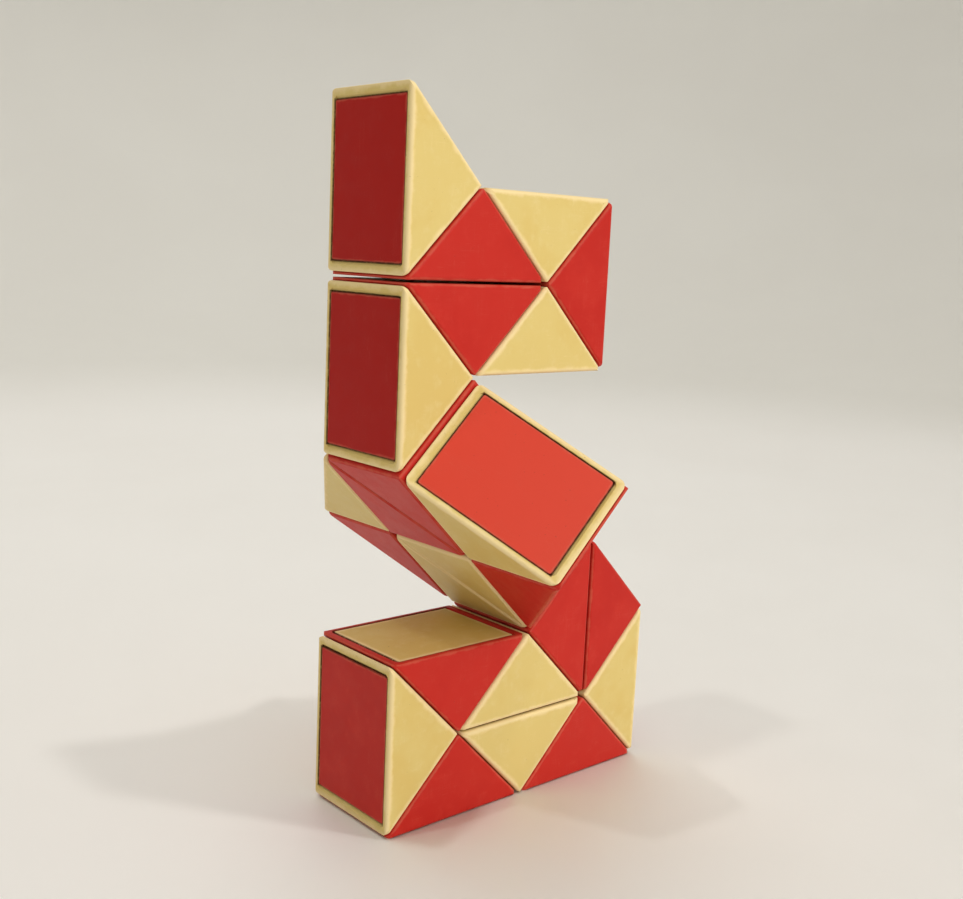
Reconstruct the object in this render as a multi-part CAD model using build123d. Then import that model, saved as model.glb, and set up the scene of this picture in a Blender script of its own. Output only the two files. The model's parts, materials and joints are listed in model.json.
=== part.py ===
from build123d import *
import os
from math import sqrt

# Twisty snake puzzle: a chain of right-angled triangular wedges. Each wedge is a hollow moulded shell
# whose sloping side is closed by a press-in cover of the other colour. Neighbouring wedges swivel about
# the middle of the square faces that they share, on a screw with a coil spring under its head.
# The chain is folded into a standing figure. Millimetres, +Z up, +X to the right, the figure's front
# faces -Y, and the origin is the middle of its footprint.

# Sizes of one wedge
LEG = 25.0             # side of the square faces, and the step from one wedge to the next
FACE_GAP = 0.15        # how far each square and triangular face stands back from its cell
SLOPE_GAP = 0.25       # the same for the sloping face
WALL = 1.25            # moulded wall
EDGE_ROUND = 0.7       # edges around the triangular faces, and the right-angled edge
TIP_ROUND = 0.3        # the two 45 degree edges
CORNER_ROUND = 1.8     # corners of the sloping face, seen square on
CORNER_CLEAR = 0.02    # how far a tool that rounds corners clears the edges between them

# Cover in the sloping side
COVER_THICK = 1.4
COVER_RECESS = 0.1     # below the shell's rim
COVER_GAP = 0.12       # shadow gap all round
COVER_ROUND = 0.3      # its outer edges
COVER_CORNER = 1.1     # its corners, seen square on
LUG_LENGTH = 1.5       # the two lugs that grip between the ribs
LUG_DEPTH = 2.0
LUG_CENTRE = 10.0      # from the middle of the slope

# Two ribs inside each shell, either side of the swivel hardware
RIB_SPACE = 8.0
RIB_THICK = 1.2

# Swivel hardware, measured from the plane between the two wedges
SCREW_RADIUS = 1.5
SCREW_TIP = 6.0
SWIVEL_PLAY = 0.1      # radial clearance of the screw in the wedge that it turns in
HEAD_START = 5.6
HEAD_THICK = 1.3
HEAD_RADIUS = 2.6
HEAD_ROUND = 0.4
SLOT_WIDTH = 0.7
SLOT_DEPTH = 0.6
WASHER_START = 1.7
WASHER_THICK = 0.5
WASHER_RADIUS = 2.8
WASHER_BORE = 1.65
SPRING_RADIUS = 2.1    # to the middle of the wire
SPRING_WIRE = 0.25
SPRING_TURNS = 3.0
SEAT_PLAY = 0.03       # between the spring and what it bears on
BOSS_RADIUS = 3.0
BOSS_DEPTH = 6.5

# The way out of each wedge, from the first to the last. "1" is up to the right, "2" is down to the
# right, "3" is towards the front, and a small "m" turns it round. The last is the free end face.
EXITS = (
    "2 1 2 m1 m2 m1 2 "
    "3 2 m3 m2 m3 2 3 2 "
    "m1 m2 m1 2 1 2 1 m2 1"
).split()
FIRST_ENTRY = "m1"     # the way that the chain would come into its first wedge
FIRST_CELL = (-2, 0.5, 7)      # half diagonals right, legs forward, half diagonals up

# Lengths that follow
ROOT2 = sqrt(2)
HALF = LEG / 2
DIAGONAL = LEG / ROOT2         # half of the slope's length
FACE = HALF - FACE_GAP         # from the cell's middle to a square or triangular face
TIP = ROOT2 * (FACE - TIP_ROUND) - SLOPE_GAP     # from the slope's middle to a rounded 45 degree edge
COUNT = len(EXITS)
STEPS = {
    "1": Vector(1, 0, 1) / ROOT2,
    "2": Vector(1, 0, -1) / ROOT2,
    "3": Vector(0, -1, 0),
}


# ---- one wedge, in its own frame: X along the slope, Y from the slope's middle to the right-angled
# ---- edge, Z along that edge. The square faces look along (1, 1, 0), the way in, and (-1, 1, 0).

def section(face, near, far=None):
    """The outline between two square faces, from one depth below the slope to another or to the edge."""
    tip = ROOT2 * face - near
    if far is None:
        return Polygon((-tip, near), (tip, near), (0, ROOT2 * face), align=None)
    end = ROOT2 * face - far
    return Polygon((-tip, near), (tip, near), (end, far), (-end, far), align=None)


def bar(width, height, radius):
    """A long bar along Y with rounded edges."""
    return extrude(Plane.XZ * RectangleRounded(width, height, radius), LEG, both=True)


def outer_form():
    """The closed outside of a wedge, with every edge rounded."""
    outline = section(FACE, SLOPE_GAP)
    corners = outline.vertices().sort_by(Axis.Y)
    outline = fillet(corners[2], EDGE_ROUND)
    outline = fillet(outline.vertices().sort_by(Axis.X)[0], TIP_ROUND)
    outline = fillet(outline.vertices().sort_by(Axis.X)[-1], TIP_ROUND)
    form = extrude(outline, FACE, both=True)
    square = bar(2 * FACE, 2 * FACE, EDGE_ROUND)
    form &= Rot(0, 0, 45) * square
    form &= Rot(0, 0, -45) * square
    slope = Rot(0, 0, 90) * bar(2 * LEG, 2 * FACE, EDGE_ROUND)
    form &= Pos(0, SLOPE_GAP + LEG, 0) * slope
    form &= bar(2 * (TIP + CORNER_CLEAR), 2 * FACE, CORNER_ROUND)
    return form


def ribs():
    """Two ribs that stiffen the shell and carry its cover."""
    seat = SLOPE_GAP + COVER_RECESS + COVER_THICK
    plate = extrude(section(FACE - WALL / 2, seat), RIB_THICK / 2, both=True)
    offset_z = (RIB_SPACE + RIB_THICK) / 2
    return [Pos(0, 0, offset_z) * plate, Pos(0, 0, -offset_z) * plate]


def along_swivel(side, start, end, radius):
    """A cylinder on the swivel axis of one side, between two distances from the wedge's middle."""
    axis = Plane((0, 0, 0), x_dir=(0, 0, 1), z_dir=(side, 1, 0))
    return axis * Pos(0, 0, (start + end) / 2) * Cylinder(radius, end - start)


def shell(sides, has_bosses):
    """A wedge's moulded shell. sides are those with a swivel: 1 for the way in, -1 for the way out."""
    inner = FACE - WALL
    opening = ROOT2 * inner - SLOPE_GAP
    cavity = extrude(section(inner, -WALL), inner, both=True)
    corner = COVER_CORNER + COVER_GAP
    cavity &= bar(2 * (opening + CORNER_CLEAR), 2 * (inner + CORNER_CLEAR), corner)
    body = outer_form() - cavity
    for rib in ribs():
        body += rib
    for side in sides:
        hole = SCREW_RADIUS + SWIVEL_PLAY
        if has_bosses:
            body += along_swivel(side, HALF - BOSS_DEPTH, FACE - WALL / 2, BOSS_RADIUS)
            hole = SCREW_RADIUS
        body -= along_swivel(side, HALF - BOSS_DEPTH - WALL, LEG, hole)
    return body


def cover():
    """The press-in cover: a plate with bevelled ends and two lugs."""
    near = SLOPE_GAP + COVER_RECESS
    seat = near + COVER_THICK
    core_face = FACE - WALL - COVER_GAP - COVER_ROUND
    core = extrude(section(core_face, near + COVER_ROUND, 2 * seat), core_face, both=True)
    plate = offset(core, COVER_ROUND)
    plate = split(plate, Plane((0, seat, 0), z_dir=(0, 1, 0)), keep=Keep.BOTTOM)
    half_length = ROOT2 * core_face - near + CORNER_CLEAR
    plate &= bar(2 * half_length, 2 * (core_face + COVER_ROUND + CORNER_CLEAR), COVER_CORNER)
    lug = Box(LUG_LENGTH, LUG_DEPTH, RIB_SPACE, align=(Align.CENTER, Align.MIN, Align.CENTER))
    plate += Pos(LUG_CENTRE, seat, 0) * lug
    plate += Pos(-LUG_CENTRE, seat, 0) * lug
    return plate


# ---- the hardware of one swivel: Z along its axis, from the wedge that holds the screw's thread to
# ---- the wedge that turns under its head, and zero midway between the two wedges.

def screw():
    """A pan-head screw with a slot."""
    shank = Pos(0, 0, (HEAD_START - SCREW_TIP) / 2) * Cylinder(SCREW_RADIUS, HEAD_START + SCREW_TIP)
    head = Pos(0, 0, HEAD_START + HEAD_THICK / 2) * Cylinder(HEAD_RADIUS, HEAD_THICK)
    head = fillet(head.edges().sort_by(Axis.Z)[-1], HEAD_ROUND)
    top = HEAD_START + HEAD_THICK
    slot = Pos(0, 0, top) * Box(2 * HEAD_RADIUS, SLOT_WIDTH, 2 * SLOT_DEPTH)
    return shank + head - slot


def washer():
    """The flat washer between the spring and the wall."""
    ring = Cylinder(WASHER_RADIUS, WASHER_THICK) - Cylinder(WASHER_BORE, WASHER_THICK)
    return Pos(0, 0, WASHER_START + WASHER_THICK / 2) * ring


def spring():
    """The short coil spring that pulls the two wedges together."""
    bottom = WASHER_START + WASHER_THICK + SEAT_PLAY + SPRING_WIRE
    height = HEAD_START - SEAT_PLAY - SPRING_WIRE - bottom
    coil = Helix(height / SPRING_TURNS, height, SPRING_RADIUS)
    wire = Plane(coil @ 0, z_dir=coil % 0) * Circle(SPRING_WIRE)
    return Pos(0, 0, bottom) * sweep(wire, path=coil, is_frenet=True)


# ---- the chain

def direction(name):
    """The unit vector of a way out of a wedge."""
    step = STEPS[name[-1]]
    return -step if name.startswith("m") else step


def walk_chain():
    """Each wedge's middle and the ways into and out of it."""
    right, forward, up = FIRST_CELL
    middle = Vector(right * DIAGONAL, (0.5 - forward) * LEG, up * DIAGONAL - SLOPE_GAP)
    way_in = direction(FIRST_ENTRY)
    chain = []
    for name in EXITS:
        way_out = direction(name)
        chain.append((middle, way_in, way_out))
        middle = middle + way_out * LEG
        way_in = way_out
    return chain


def wedge_place(middle, way_in, way_out):
    """Where a wedge's own frame stands in the figure."""
    entry = -way_in
    return Location(Plane(middle, x_dir=entry - way_out, z_dir=entry.cross(way_out)))


def swivel_place(middle, way_in, way_out, side):
    """Where the hardware of one side's swivel stands, with its screw's thread in this wedge."""
    outward = -way_in if side == 1 else way_out
    across = way_in.cross(way_out)
    return Location(Plane(middle + outward * HALF, x_dir=across, z_dir=outward))


def write(name, solids):
    """Write one sub-part, as a single solid or as a group of separate ones."""
    shape = solids[0] if len(solids) == 1 else Compound(children=solids)
    shape.label = name
    export_step(shape, f"parts/{name}.step")


def one_solid(shape):
    """The only solid of a shape."""
    (solid,) = shape.solids()
    return solid


def main():
    os.makedirs("parts", exist_ok=True)
    both = (1, -1)
    shells = {}
    for sides in ((-1,), both):
        shells[sides, True] = one_solid(shell(sides, True))
    for sides in (both, (1,)):
        shells[sides, False] = one_solid(shell(sides, False))
    plate = one_solid(cover())
    hardware = [one_solid(screw()), one_solid(washer()), one_solid(spring())]
    for index, (middle, way_in, way_out) in enumerate(walk_chain()):
        number = index + 1
        holds_threads = number % 2 == 1
        sides = both
        if number == 1:
            sides = (-1,)
        if number == COUNT:
            sides = (1,)
        place = wedge_place(middle, way_in, way_out)
        write(f"wedge_{number:02d}_shell", [place * shells[sides, holds_threads]])
        write(f"wedge_{number:02d}_cover", [place * plate])
        if holds_threads:
            group = []
            for side in sides:
                swivel = swivel_place(middle, way_in, way_out, side)
                group += [swivel * piece for piece in hardware]
            write(f"wedge_{number:02d}_spring_screws", group)


main()
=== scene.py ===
import json
import math
import random

import bmesh
import bpy
from mathutils import Matrix, Vector


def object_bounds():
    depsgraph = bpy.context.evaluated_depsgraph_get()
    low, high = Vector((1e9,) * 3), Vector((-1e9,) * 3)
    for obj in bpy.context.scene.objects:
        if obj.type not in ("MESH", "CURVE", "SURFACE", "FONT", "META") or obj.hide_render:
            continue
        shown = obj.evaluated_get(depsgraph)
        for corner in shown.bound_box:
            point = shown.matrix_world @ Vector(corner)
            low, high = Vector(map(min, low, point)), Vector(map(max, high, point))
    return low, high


# A twisty snake puzzle standing on a pale studio sweep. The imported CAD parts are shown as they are, with
# aged plastic and plated steel on them. Metres, +Z up, the figure's front faces -Y.

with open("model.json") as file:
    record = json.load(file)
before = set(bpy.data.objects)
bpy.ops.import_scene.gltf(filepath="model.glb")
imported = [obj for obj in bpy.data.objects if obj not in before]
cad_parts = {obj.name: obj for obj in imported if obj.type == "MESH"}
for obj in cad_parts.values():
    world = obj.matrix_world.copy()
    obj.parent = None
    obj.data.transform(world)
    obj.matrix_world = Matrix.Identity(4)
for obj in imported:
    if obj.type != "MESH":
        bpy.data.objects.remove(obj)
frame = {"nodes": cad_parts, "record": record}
cad_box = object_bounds()

MM = 0.001
ROOT2 = math.sqrt(2)

# Camera: its bearing is measured from +Y towards +X, and it looks slightly down
CAMERA_BEARING = math.radians(41.79)
CAMERA_TILT = math.radians(9.38)
CAMERA_ROLL = math.radians(2.65)
CAMERA_DISTANCE = 0.2485
CAMERA_ASIDE = -0.0032
CAMERA_UP = 0.00106
CAMERA_LENS = 44.7
SENSOR_WIDTH = 36.0
NEAREST_SEEN = 0.01

# Sizes of one wedge that the materials measure from, in millimetres
FACE = 12.35           # from the middle of the slope to a triangular or square face
SLOPE = 0.25           # how far the sloping face stands back
COVER_HALF_LENGTH = 14.75
COVER_HALF_WIDTH = 10.98

# In all the materials below, a noise is (features per unit, detail, roughness) and a fade is the values
# that it starts and ends at, then what it gives there if that isn't 0 and 1. The unit is a millimetre,
# except in the backdrop, where it is a metre.

# Plastic: mottled colour, with one tone for each moulding
CLOUDS = (0.11, 3.0, 0.55)
CLOUD_FADE = (0.30, 0.62)
TONE_SHIFT = 0.16
BLOTCHES = (0.45, 4.0, 0.6)
BLOTCH_FADE = (0.50, 0.80, 0.0, 0.55)

# Plastic: edges rubbed by hands and made paler still with a painted highlight. A rubbing is its least and
# most reach in from an edge, and its strength.
HANDLED = (0.35, 3.0, 0.6)
HANDLED_FADE = (0.30, 0.70)
RUB_AND_HIGHLIGHT_FADE = (0.30, 1.0, 1.0, 0.0)        # along the reach
CREAM_RUB_AND_HIGHLIGHT = (1.00, 1.60, 0.75)
RED_RUB_AND_HIGHLIGHT = (0.35, 0.80, 0.55)

# Plastic: darkening near the gap round the cover, and specks
GAP_NOISE = (1.1, 3.0, 0.6)
GAP_NOISE_FADE = (0.25, 0.55, 0.45, 0.95)
GAP_FADE = (0.04, 0.34, 1.0, 0.0)          # away from the gap
DEPTH_FADE = (1.9, 2.5, 1.0, 0.0)          # in from the slope
SPECKS = (2.6, 1.0)
SPECK_FADE = (0.765, 0.80, 0.0, 0.5)

# Plastic: hairline scratches, each set with the turn and stretch of its noise, and how far a line reaches
# either side of the noise's middle value
HAIRLINES = (
    ((0.3, 0.5, 0.7), (0.05, 2.4, 2.4), 0.006),
    ((1.1, -0.6, 0.2), (2.2, 0.04, 2.2), 0.005),
)
SCRATCHED_PATCHES = (0.22, 2.0)
PATCH_FADE = (0.47, 0.62)
SCRATCH_STRENGTH = 0.28

# Plastic: roughness where handled, and what is added to it
GLOSS_FADE = (0.30, 0.70, 0.38, 0.45)
RUBBED_DULLNESS = 0.10
SCRATCH_DULLNESS = 0.16
GAP_DULLNESS = 0.30
GRAIN_DULLNESS = 0.10
PLASTIC_IOR = 1.48
PLASTIC_SPECULAR = 0.15

# Plastic: relief
GRAIN = (5.5, 3.0, 0.65)
WAVES = (0.16, 1.0)
GRAIN_HEIGHT = 0.035
SCRATCH_DEPTH = 0.10
PLASTIC_RELIEF = 0.06 * MM

# Steel: cloudy plating with tarnish
PLATING_CLOUDS = (0.7, 3.0)
PLATING_FADE = (0.35, 0.65)
TARNISH = (1.6, 4.0)
TARNISH_FADE = (0.58, 0.78, 0.0, 0.5)
STEEL_GRAIN = (9.0, 3.0)
STEEL_GLOSS_FADE = (0.25, 0.75, 0.26, 0.44)
STEEL_BUMP = 0.6
STEEL_RELIEF = 0.01 * MM

# Backdrop: a board that is very slightly uneven, and darker above the floor
BOARD_CLOUDS = (7.0, 2.0)
BOARD_FADE = (0.3, 0.7)
BOARD_RISE = (0.0, 0.03)
BOARD_GRAIN = (60.0, 3.0)
BOARD_GLOSS_FADE = (0.3, 0.7, 0.45, 0.6)

SWEEP_FLOOR = 0.42     # radius of its flat middle
SWEEP_COVE = 0.75      # radius of its curve
SWEEP_TOP = 1.6
SWEEP_STEPS = 24
SWEEP_TURNS = 96

LAMP_WHITE = (1.0, 0.98, 0.95)
CEILING_WHITE = (1.0, 0.97, 0.93)
SIDE_WHITE = (1.0, 0.98, 0.94)
SMALL_LAMP = 0.05
AIR_STRENGTH = 0.05


def rgba(red, green, blue):
    """A colour with its alpha, linear."""
    return (red, green, blue, 1.0)


# ---- colours

CREAM = rgba(0.755, 0.585, 0.210)
CREAM_PALE = rgba(0.790, 0.635, 0.275)
CREAM_DEEP = rgba(0.735, 0.545, 0.178)
# A paler cream for wear, and for a painted highlight on the edges
CREAM_WORN_AND_HIGHLIGHT = rgba(0.960, 0.770, 0.430)
RED = rgba(0.570, 0.026, 0.017)
RED_PALE = rgba(0.600, 0.038, 0.026)
RED_DEEP = rgba(0.535, 0.021, 0.014)
# A paler red for wear, and for a painted highlight on the edges
RED_WORN_AND_HIGHLIGHT = rgba(0.660, 0.140, 0.085)
# A painted sheen and a painted shade, for some red covers
RED_PAINTED_SHEEN = rgba(0.700, 0.062, 0.034)
RED_PAINTED_SHADE = rgba(0.430, 0.005, 0.002)
# A dark brown for the darkening beside the gaps round the covers, and for specks of dirt
GAP_AND_SPECK_BROWN = rgba(0.110, 0.032, 0.016)
ZINC_DARK = rgba(0.50, 0.50, 0.48)
ZINC_PALE = rgba(0.66, 0.66, 0.63)
ZINC_TARNISH = rgba(0.32, 0.27, 0.20)
FLOOR_DARK = rgba(0.935, 0.918, 0.885)
FLOOR_PALE = rgba(0.950, 0.935, 0.905)
WALL_DARK = rgba(0.795, 0.782, 0.734)
WALL_PALE = rgba(0.810, 0.799, 0.752)

# Red covers with painted light, by wedge: 1 is all painted sheen, and -1 is all painted shade
PAINTED_LIGHT_COVERS = {1: -1.0, 7: -1.0, 9: 0.9}


# ---- where each wedge stands

def wedge_frames(record):
    """Each wedge's middle and its axes along the slope, into the wedge and along the right-angled edge."""
    joints = sorted(record["behaviour"]["joints"], key=lambda joint: joint["name"])
    mounts = {mount["name"]: mount for mount in record["mounts"]}
    stations = [mounts["head_end_face"], *joints, mounts["tail_end_face"]]
    places = [Vector(station["pos_m"]) for station in stations]
    axes = [Vector(station["axis"]).normalized() for station in stations]
    half = (places[1] - places[2]).length / ROOT2
    frames = []
    for index in range(len(stations) - 1):
        across = places[index + 1] - places[index]
        way_out = axes[index + 1] * math.copysign(1, axes[index + 1].dot(across))
        way_back = -axes[index] * math.copysign(1, axes[index].dot(across))
        if index == 0:
            middle = places[1] - way_out * half
        else:
            middle = places[index] - way_back * half
        along = (way_back - way_out).normalized()
        inward = (way_back + way_out).normalized()
        frames.append((middle, along, inward, along.cross(inward)))
    return frames


# ---- node helpers

class Graph:
    """A node tree with short calls for the nodes that the materials share."""

    def __init__(self, tree):
        self.tree = tree

    def node(self, kind, **settings):
        made = self.tree.nodes.new(kind)
        for name, value in settings.items():
            setattr(made, name, value)
        return made

    def put(self, socket, value):
        """Links a socket, or sets its value."""
        if isinstance(value, bpy.types.NodeSocket):
            self.tree.links.new(value, socket)
        elif value is not None:
            socket.default_value = value

    def math(self, operation, first, second=None, clamp=False):
        made = self.node("ShaderNodeMath", operation=operation, use_clamp=clamp)
        for socket, value in zip(made.inputs, (first, second)):
            self.put(socket, value)
        return made.outputs[0]

    def vector(self, operation, first, second):
        made = self.node("ShaderNodeVectorMath", operation=operation)
        self.put(made.inputs[0], first)
        if operation == "SCALE":
            self.put(made.inputs["Scale"], second)
        else:
            self.put(made.inputs[1], second)
        if operation == "DOT_PRODUCT":
            return made.outputs["Value"]
        return made.outputs["Vector"]

    def place(self):
        """Positions in metres, in the figure's frame."""
        return self.node("ShaderNodeTexCoord").outputs["Object"]

    def place_mm(self):
        """Positions in millimetres, in the figure's frame."""
        return self.vector("SCALE", self.place(), 1 / MM)

    def own(self, name, output):
        """A value that each object carries as a custom property."""
        made = self.node("ShaderNodeAttribute", attribute_type="OBJECT", attribute_name=name)
        return made.outputs[output]

    def fade(self, value, start, end, low=0.0, high=1.0):
        """Eases from low at start to high at end."""
        made = self.node("ShaderNodeMapRange", interpolation_type="SMOOTHSTEP")
        for socket, given in zip(made.inputs, (value, start, end, low, high)):
            self.put(socket, given)
        return made.outputs[0]

    def noise(self, vector, scale, detail=2.0, rough=0.5):
        made = self.node("ShaderNodeTexNoise")
        self.put(made.inputs["Vector"], vector)
        self.put(made.inputs["Scale"], scale)
        self.put(made.inputs["Detail"], detail)
        self.put(made.inputs["Roughness"], rough)
        return made.outputs["Fac"]

    def mix(self, factor, first, second):
        made = self.node("ShaderNodeMix", data_type="RGBA")
        self.put(made.inputs["Factor"], factor)
        colours = [socket for socket in made.inputs if socket.type == "RGBA"]
        self.put(colours[0], first)
        self.put(colours[1], second)
        return next(socket for socket in made.outputs if socket.type == "RGBA")

    def stretched(self, vector, turn, size):
        """Noise drawn out along one direction, for hairlines."""
        made = self.node("ShaderNodeMapping")
        self.put(made.inputs["Vector"], vector)
        made.inputs["Rotation"].default_value = turn
        made.inputs["Scale"].default_value = size
        return self.noise(made.outputs[0], 1.0)

    def bump(self, shader, height, strength, distance):
        """Gives a shader its relief."""
        made = self.node("ShaderNodeBump")
        made.inputs["Strength"].default_value = strength
        made.inputs["Distance"].default_value = distance
        self.put(made.inputs["Height"], height)
        self.put(shader.inputs["Normal"], made.outputs[0])


def new_material(name):
    """A new material, with its graph and its shader."""
    material = bpy.data.materials.new(name)
    material.use_nodes = True
    return material, Graph(material.node_tree), material.node_tree.nodes["Principled BSDF"]


# ---- aged plastic

def wedge_space(graph):
    """Positions in a wedge's own frame, in millimetres: along, inward, and across from its middle."""
    from_middle = graph.vector("SUBTRACT", graph.place(), graph.own("wedge_middle", "Vector"))
    offset = graph.vector("SCALE", from_middle, 1 / MM)
    parts = []
    for name in ("wedge_along", "wedge_inward", "wedge_across"):
        parts.append(graph.vector("DOT_PRODUCT", offset, graph.own(name, "Vector")))
    joined = graph.node("ShaderNodeCombineXYZ")
    for socket, part in zip(joined.inputs, parts):
        graph.put(socket, part)
    return joined.outputs[0], parts


def shell_edge(graph, parts):
    """How far a point of a shell is from its nearest outer edge, in millimetres."""
    along, inward, across = parts
    side = graph.math("ABSOLUTE", along)
    to_slope = graph.math("SUBTRACT", inward, SLOPE)
    to_near = graph.math("SUBTRACT", FACE, graph.math("DIVIDE", graph.math("ADD", side, inward), ROOT2))
    to_far = graph.math("SUBTRACT", FACE, graph.math("DIVIDE", graph.math("SUBTRACT", inward, side), ROOT2))
    to_flat = graph.math("SUBTRACT", FACE, graph.math("ABSOLUTE", across))
    tips = graph.math("MAXIMUM", to_slope, to_near)
    rim = graph.math("MAXIMUM", to_flat, graph.math("MINIMUM", to_slope, to_near))
    return graph.math("MINIMUM", graph.math("MINIMUM", tips, to_far), rim)


def cover_edge(graph, parts):
    """How far a point is inside a cover's outline, in millimetres, and below zero outside it."""
    ends = graph.math("SUBTRACT", COVER_HALF_LENGTH, graph.math("ABSOLUTE", parts[0]))
    sides = graph.math("SUBTRACT", COVER_HALF_WIDTH, graph.math("ABSOLUTE", parts[2]))
    return graph.math("MINIMUM", ends, sides)


def mottled(graph, place, base, pale, deep):
    """The moulding's colour before wear, with a paler painted sheen and a darker painted shade on some red
    covers.
    """
    shade = graph.own("wedge_shade", "Fac")
    clouds = graph.noise(place, *CLOUDS)
    blotch = graph.noise(place, *BLOTCHES)
    tone = graph.math("ADD", clouds, graph.math("MULTIPLY", shade, TONE_SHIFT))
    colour = graph.mix(graph.fade(tone, *CLOUD_FADE), deep, base)
    colour = graph.mix(graph.fade(blotch, *BLOTCH_FADE), colour, pale)
    # Painted light on some red covers: a paler painted sheen, and a darker painted shade
    painted_light = graph.own("wedge_fading", "Fac")
    colour = graph.mix(graph.fade(painted_light, 0.0, 1.0), colour, RED_PAINTED_SHEEN)
    return graph.mix(graph.fade(painted_light, 0.0, -1.0), colour, RED_PAINTED_SHADE)


def hairlines(graph, wedge_place, place):
    """Fine scratches in two directions, in patches."""
    lines = []
    for turn, size, width in HAIRLINES:
        drawn_out = graph.stretched(wedge_place, turn, size)
        from_middle = graph.math("ABSOLUTE", graph.math("SUBTRACT", drawn_out, 0.5))
        lines.append(graph.fade(from_middle, 0.0, width, 1.0, 0.0))
    patches = graph.fade(graph.noise(place, *SCRATCHED_PATCHES), *PATCH_FADE)
    return graph.math("MULTIPLY", graph.math("MAXIMUM", *lines), patches)


def plastic(name, base, pale, deep, worn_and_highlight, rub_and_highlight, is_cover):
    """Plastic handled for years: mottled, paler on its edges from wear and from a painted highlight,
    scratched, and darker beside its gaps.
    """
    material, graph, shader = new_material(name)
    wedge_place, parts = wedge_space(graph)
    place = graph.place_mm()
    colour = mottled(graph, place, base, pale, deep)

    # Rubbed edges with a painted highlight on them too, uneven along their length
    least, most, strength = rub_and_highlight
    handled = graph.noise(place, *HANDLED)
    inside = cover_edge(graph, parts)
    edge = inside if is_cover else shell_edge(graph, parts)
    reach = graph.fade(handled, *HANDLED_FADE, least, most)
    edge_wear_and_highlight = graph.fade(graph.math("DIVIDE", edge, reach), *RUB_AND_HIGHLIGHT_FADE)
    colour = graph.mix(graph.math("MULTIPLY", edge_wear_and_highlight, strength), colour, worn_and_highlight)

    # Darker beside the gap round the cover, near the slope only, and a few specks
    gap = inside if is_cover else graph.math("MULTIPLY", inside, -1.0)
    gap_noise = graph.fade(graph.noise(place, *GAP_NOISE), *GAP_NOISE_FADE)
    gap_darkening = graph.math("MULTIPLY", graph.fade(gap, *GAP_FADE), gap_noise)
    gap_darkening = graph.math("MULTIPLY", gap_darkening, graph.fade(parts[1], *DEPTH_FADE))
    colour = graph.mix(gap_darkening, colour, GAP_AND_SPECK_BROWN)
    specks = graph.fade(graph.noise(place, *SPECKS), *SPECK_FADE)
    colour = graph.mix(specks, colour, GAP_AND_SPECK_BROWN)

    scratched = hairlines(graph, wedge_place, place)
    colour = graph.mix(graph.math("MULTIPLY", scratched, SCRATCH_STRENGTH), colour, worn_and_highlight)
    graph.put(shader.inputs["Base Color"], colour)

    # Satin where handled, duller on rubbed edges, scratches and beside the gap
    grain = graph.noise(place, *GRAIN)
    gloss = graph.fade(handled, *GLOSS_FADE)
    gloss = graph.math("ADD", gloss, graph.math("MULTIPLY", edge_wear_and_highlight, RUBBED_DULLNESS))
    gloss = graph.math("ADD", gloss, graph.math("MULTIPLY", scratched, SCRATCH_DULLNESS))
    gloss = graph.math("ADD", gloss, graph.math("MULTIPLY", gap_darkening, GAP_DULLNESS))
    uneven = graph.math("MULTIPLY", graph.math("SUBTRACT", grain, 0.5), GRAIN_DULLNESS)
    gloss = graph.math("ADD", gloss, uneven, clamp=True)
    graph.put(shader.inputs["Roughness"], gloss)

    # Slow waviness of the moulded faces, fine grain, and the scratches cut in
    relief = graph.noise(place, *WAVES)
    relief = graph.math("ADD", relief, graph.math("MULTIPLY", grain, GRAIN_HEIGHT))
    relief = graph.math("SUBTRACT", relief, graph.math("MULTIPLY", scratched, SCRATCH_DEPTH))
    graph.bump(shader, relief, 1.0, PLASTIC_RELIEF)
    shader.inputs["IOR"].default_value = PLASTIC_IOR
    shader.inputs["Specular IOR Level"].default_value = PLASTIC_SPECULAR
    return material


# ---- steel and backdrop

def plated_steel(name):
    """Zinc-plated steel, slightly cloudy, tarnished in places, with a fine grain."""
    material, graph, shader = new_material(name)
    place = graph.place_mm()
    cloud = graph.noise(place, *PLATING_CLOUDS)
    colour = graph.mix(graph.fade(cloud, *PLATING_FADE), ZINC_DARK, ZINC_PALE)
    tarnish = graph.fade(graph.noise(place, *TARNISH), *TARNISH_FADE)
    colour = graph.mix(tarnish, colour, ZINC_TARNISH)
    graph.put(shader.inputs["Base Color"], colour)
    shader.inputs["Metallic"].default_value = 1.0
    grain = graph.noise(place, *STEEL_GRAIN)
    graph.put(shader.inputs["Roughness"], graph.fade(grain, *STEEL_GLOSS_FADE))
    graph.bump(shader, grain, STEEL_BUMP, STEEL_RELIEF)
    return material


def paper(name):
    """Matt pale backdrop board, very slightly uneven."""
    material, graph, shader = new_material(name)
    place = graph.place()
    split = graph.node("ShaderNodeSeparateXYZ")
    graph.put(split.inputs[0], place)
    cloud = graph.fade(graph.noise(place, *BOARD_CLOUDS), *BOARD_FADE)
    low = graph.mix(cloud, FLOOR_DARK, FLOOR_PALE)
    high = graph.mix(cloud, WALL_DARK, WALL_PALE)
    rise = graph.fade(split.outputs["Z"], *BOARD_RISE)
    graph.put(shader.inputs["Base Color"], graph.mix(rise, low, high))
    gloss = graph.fade(graph.noise(place, *BOARD_GRAIN), *BOARD_GLOSS_FADE)
    graph.put(shader.inputs["Roughness"], gloss)
    return material


# ---- dress the CAD parts

finishes = {}
for form, is_cover in (("shell", False), ("cover", True)):
    finishes["cream", form] = plastic(
        "cream_" + form, CREAM, CREAM_PALE, CREAM_DEEP, CREAM_WORN_AND_HIGHLIGHT, CREAM_RUB_AND_HIGHLIGHT, is_cover)
    finishes["red", form] = plastic(
        "red_" + form, RED, RED_PALE, RED_DEEP, RED_WORN_AND_HIGHLIGHT, RED_RUB_AND_HIGHLIGHT, is_cover)
steel = plated_steel("plated_steel")

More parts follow.
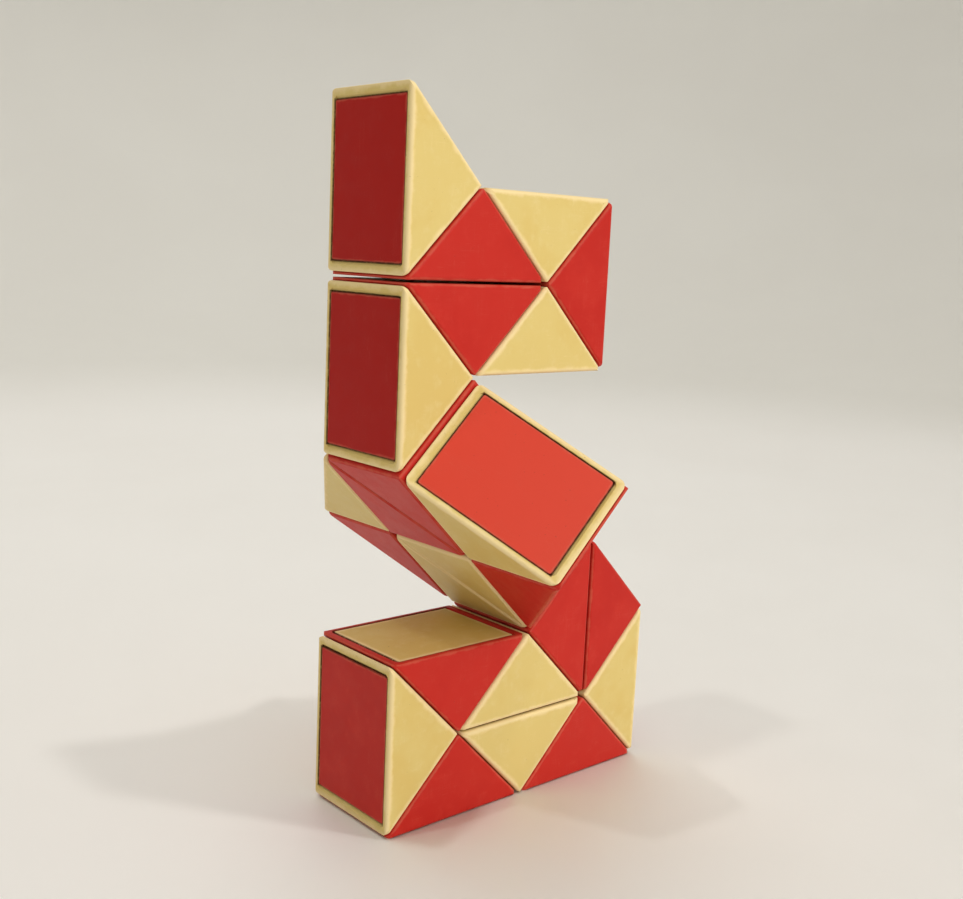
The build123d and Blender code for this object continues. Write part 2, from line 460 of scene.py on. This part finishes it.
shades = random.Random(24)
for number, (middle, along, inward, across) in enumerate(wedge_frames(frame["record"]), start=1):
    shell_colour, cover_colour = ("cream", "red") if number % 2 else ("red", "cream")
    dressed = [
        (f"wedge_{number:02d}_shell", finishes[shell_colour, "shell"], shell_colour + "_plastic"),
        (f"wedge_{number:02d}_cover", finishes[cover_colour, "cover"], cover_colour + "_plastic"),
    ]
    if number % 2:
        dressed.append((f"wedge_{number:02d}_spring_screws", steel, "steel"))
    for node, material, slot in dressed:
        part = frame["nodes"][node]
        part["wedge_middle"] = list(middle)
        part["wedge_along"] = list(along)
        part["wedge_inward"] = list(inward)
        part["wedge_across"] = list(across)
        part["wedge_shade"] = shades.uniform(-1.0, 1.0)
        # The red covers listed in the table above get their painted sheen and painted shade here
        part["wedge_fading"] = PAINTED_LIGHT_COVERS.get(number, 0.0) if material.name == "red_cover" else 0.0
        if not part.material_slots:
            part.data.materials.append(material)
        for holder in part.material_slots:
            holder.material = material


# ---- studio

def sweep_profile():
    """The sweep's outline from its middle to the top of its wall: radius and height."""
    profile = [(SWEEP_FLOOR / 2, 0.0)]
    for step in range(SWEEP_STEPS + 1):
        angle = math.pi / 2 * step / SWEEP_STEPS
        radius = SWEEP_FLOOR + SWEEP_COVE * math.sin(angle)
        profile.append((radius, SWEEP_COVE * (1 - math.cos(angle))))
    profile.append((SWEEP_FLOOR + SWEEP_COVE, SWEEP_TOP))
    return profile


def sweep(name):
    """A round floor that curves up into a wall, so that every side has the same pale backdrop."""
    mesh = bmesh.new()
    middle_point = mesh.verts.new((0, 0, 0))
    rings = []
    for radius, height in sweep_profile():
        ring = []
        for turn in range(SWEEP_TURNS):
            angle = 2 * math.pi * turn / SWEEP_TURNS
            ring.append(mesh.verts.new((radius * math.cos(angle), radius * math.sin(angle), height)))
        rings.append(ring)
    for turn in range(SWEEP_TURNS):
        beside = (turn + 1) % SWEEP_TURNS
        mesh.faces.new((middle_point, rings[0][turn], rings[0][beside]))
        for inner, outer in zip(rings, rings[1:]):
            mesh.faces.new((inner[turn], outer[turn], outer[beside], inner[beside]))
    for face in mesh.faces:
        face.smooth = True
    data = bpy.data.meshes.new(name)
    mesh.to_mesh(data)
    mesh.free()
    made = bpy.data.objects.new(name, data)
    bpy.context.scene.collection.objects.link(made)
    return made


def lamp(name, towards, distance, size, power, colour):
    """A square soft light that points at the middle of the object."""
    data = bpy.data.lights.new(name, "AREA")
    data.shape = "SQUARE"
    data.size = size
    data.energy = power
    data.color = colour
    made = bpy.data.objects.new(name, data)
    bpy.context.scene.collection.objects.link(made)
    aim = Vector(towards).normalized()
    made.location = centre + aim * distance
    made.rotation_mode = "QUATERNION"
    made.rotation_quaternion = aim.to_track_quat("Z", "Y")
    made.visible_camera = False
    return made


def light_only(made, name, lit):
    """Keeps a lamp's light to some objects, so that the figure and its backdrop are lit apart."""
    receivers = bpy.data.collections.new(name)
    for part in lit:
        receivers.objects.link(part)
    made.light_linking.receiver_collection = receivers


def place_camera():
    """The camera at the left front of the figure."""
    bearing, tilt, roll = CAMERA_BEARING, CAMERA_TILT, CAMERA_ROLL
    level_ahead = Vector((math.sin(bearing), math.cos(bearing), 0))
    ahead = level_ahead * math.cos(tilt) - Vector((0, 0, math.sin(tilt)))
    level = Vector((math.cos(bearing), -math.sin(bearing), 0))
    above = level.cross(ahead)
    right = math.cos(roll) * level + math.sin(roll) * above
    up = math.cos(roll) * above - math.sin(roll) * level
    spot = centre - CAMERA_DISTANCE * ahead + CAMERA_ASIDE * right + CAMERA_UP * up
    data = bpy.data.cameras.new("camera")
    data.lens = CAMERA_LENS
    data.sensor_width = SENSOR_WIDTH
    data.clip_start = NEAREST_SEEN
    camera = bpy.data.objects.new("camera", data)
    bpy.context.scene.collection.objects.link(camera)
    turn = Matrix((right, up, -ahead)).transposed()
    camera.matrix_world = Matrix.Translation(spot) @ turn.to_4x4()
    bpy.context.scene.camera = camera


lowest, highest = cad_box
centre = (lowest + highest) / 2

floor = sweep("studio_sweep")
floor.data.materials.append(paper("backdrop_board"))

# Two broad lamps light the figure and the backdrop apart. Two small high ones cast the shadows, and a
# broad one behind fills them. Each is: direction, distance, size, watts, colour.
front = lamp("front_light", (0.08, -0.90, 0.40), 0.95, 0.80, 7.3, LAMP_WHITE)
light_only(front, "lit_by_front_light", frame["nodes"].values())
overhead = lamp("backdrop_light", (0.0, 0.0, 1.0), 1.20, 1.20, 4.6, LAMP_WHITE)
light_only(overhead, "lit_by_backdrop_light", [floor])
lamp("ceiling_light", (0.18, -0.32, 0.93), 1.10, SMALL_LAMP, 1.8, CEILING_WHITE)
lamp("side_light", (-0.44, 0.08, 0.89), 1.10, SMALL_LAMP, 1.05, SIDE_WHITE)
lamp("rear_light", (0.20, 0.55, 0.80), 1.00, 0.80, 2.5, LAMP_WHITE)

world = bpy.data.worlds.new("studio_air")
bpy.context.scene.world = world
world.use_nodes = True
air = world.node_tree.nodes["Background"]
air.inputs["Color"].default_value = rgba(*LAMP_WHITE)
air.inputs["Strength"].default_value = AIR_STRENGTH
bpy.context.scene.view_settings.view_transform = "Standard"

place_camera()
